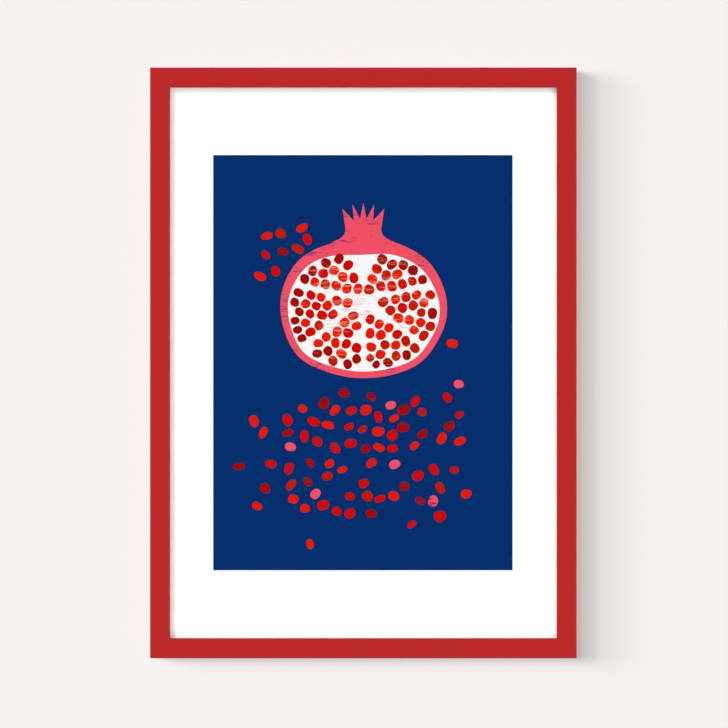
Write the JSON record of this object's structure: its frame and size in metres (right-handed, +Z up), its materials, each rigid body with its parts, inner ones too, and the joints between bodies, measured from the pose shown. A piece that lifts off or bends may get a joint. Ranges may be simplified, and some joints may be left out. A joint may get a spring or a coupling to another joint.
{
  "type": "framed art print",
  "caption": "Paper art print under glass in a red mitred wooden frame, held in by boards and steel tabs behind, and hung by strap hangers whose rings swing.",
  "frame": {"origin": "midway between the bars of the two hanging rings, in the plane of the rails' back faces", "axes": "+X to the right and +Z up as the picture is seen from the front, +Y from the picture towards the wall"},
  "size_m": [0.452, 0.0296, 0.626],
  "materials": {
    "frame_wood": "satin red paint over fine-grained hardwood, bare at the back",
    "picture_glass": "clear polished picture glass",
    "print_paper": "matt white cotton paper with a hand-printed navy and red picture",
    "barrier_card": "matt off-white",
    "fibreboard": "smooth brown medium-density fibreboard",
    "spring_steel": "bright rolled sheet",
    "plated_steel": "bright zinc plate",
    "bumper_rubber": "translucent off-white polyurethane"
  },
  "bodies": {
    "frame": {"rail_top": "frame_wood", "rail_bottom": "frame_wood", "rail_left": "frame_wood", "rail_right": "frame_wood", "glass": "picture_glass", "art_print": "print_paper", "barrier_board": "barrier_card", "backing_board": "fibreboard", "tab_top_1": "spring_steel", "tab_top_2": "spring_steel", "tab_top_3": "spring_steel", "tab_bottom_1": "spring_steel", "tab_bottom_2": "spring_steel", "tab_bottom_3": "spring_steel", "tab_left_1": "spring_steel", "tab_left_2": "spring_steel", "tab_left_3": "spring_steel", "tab_left_4": "spring_steel", "tab_right_1": "spring_steel", "tab_right_2": "spring_steel", "tab_right_3": "spring_steel", "tab_right_4": "spring_steel", "corner_nail_top_right_outer": "spring_steel", "corner_nail_top_right_inner": "spring_steel", "corner_nail_bottom_right_outer": "spring_steel", "corner_nail_bottom_right_inner": "spring_steel", "corner_nail_bottom_left_outer": "spring_steel", "corner_nail_bottom_left_inner": "spring_steel", "corner_nail_top_left_outer": "spring_steel", "corner_nail_top_left_inner": "spring_steel", "hanger_strap_left": "plated_steel", "hanger_strap_right": "plated_steel", "hanger_screw_left": "plated_steel", "hanger_screw_right": "plated_steel", "bumper_left": "bumper_rubber", "bumper_right": "bumper_rubber"},
    "hanging_ring_left": {"hanger_ring_left": "plated_steel"},
    "hanging_ring_right": {"hanger_ring_right": "plated_steel"}
  },
  "joints": [
    {"name": "ring_left_swing", "type": "hinge", "parent": "frame", "child": "hanging_ring_left", "pos_m": [-0.2185, 0.0023, 0], "axis": [1, 0, 0], "range_deg": [0, 180]},
    {"name": "ring_right_swing", "type": "hinge", "parent": "frame", "child": "hanging_ring_right", "pos_m": [0.2185, 0.0023, 0], "axis": [1, 0, 0], "range_deg": [0, 180]}
  ]
}
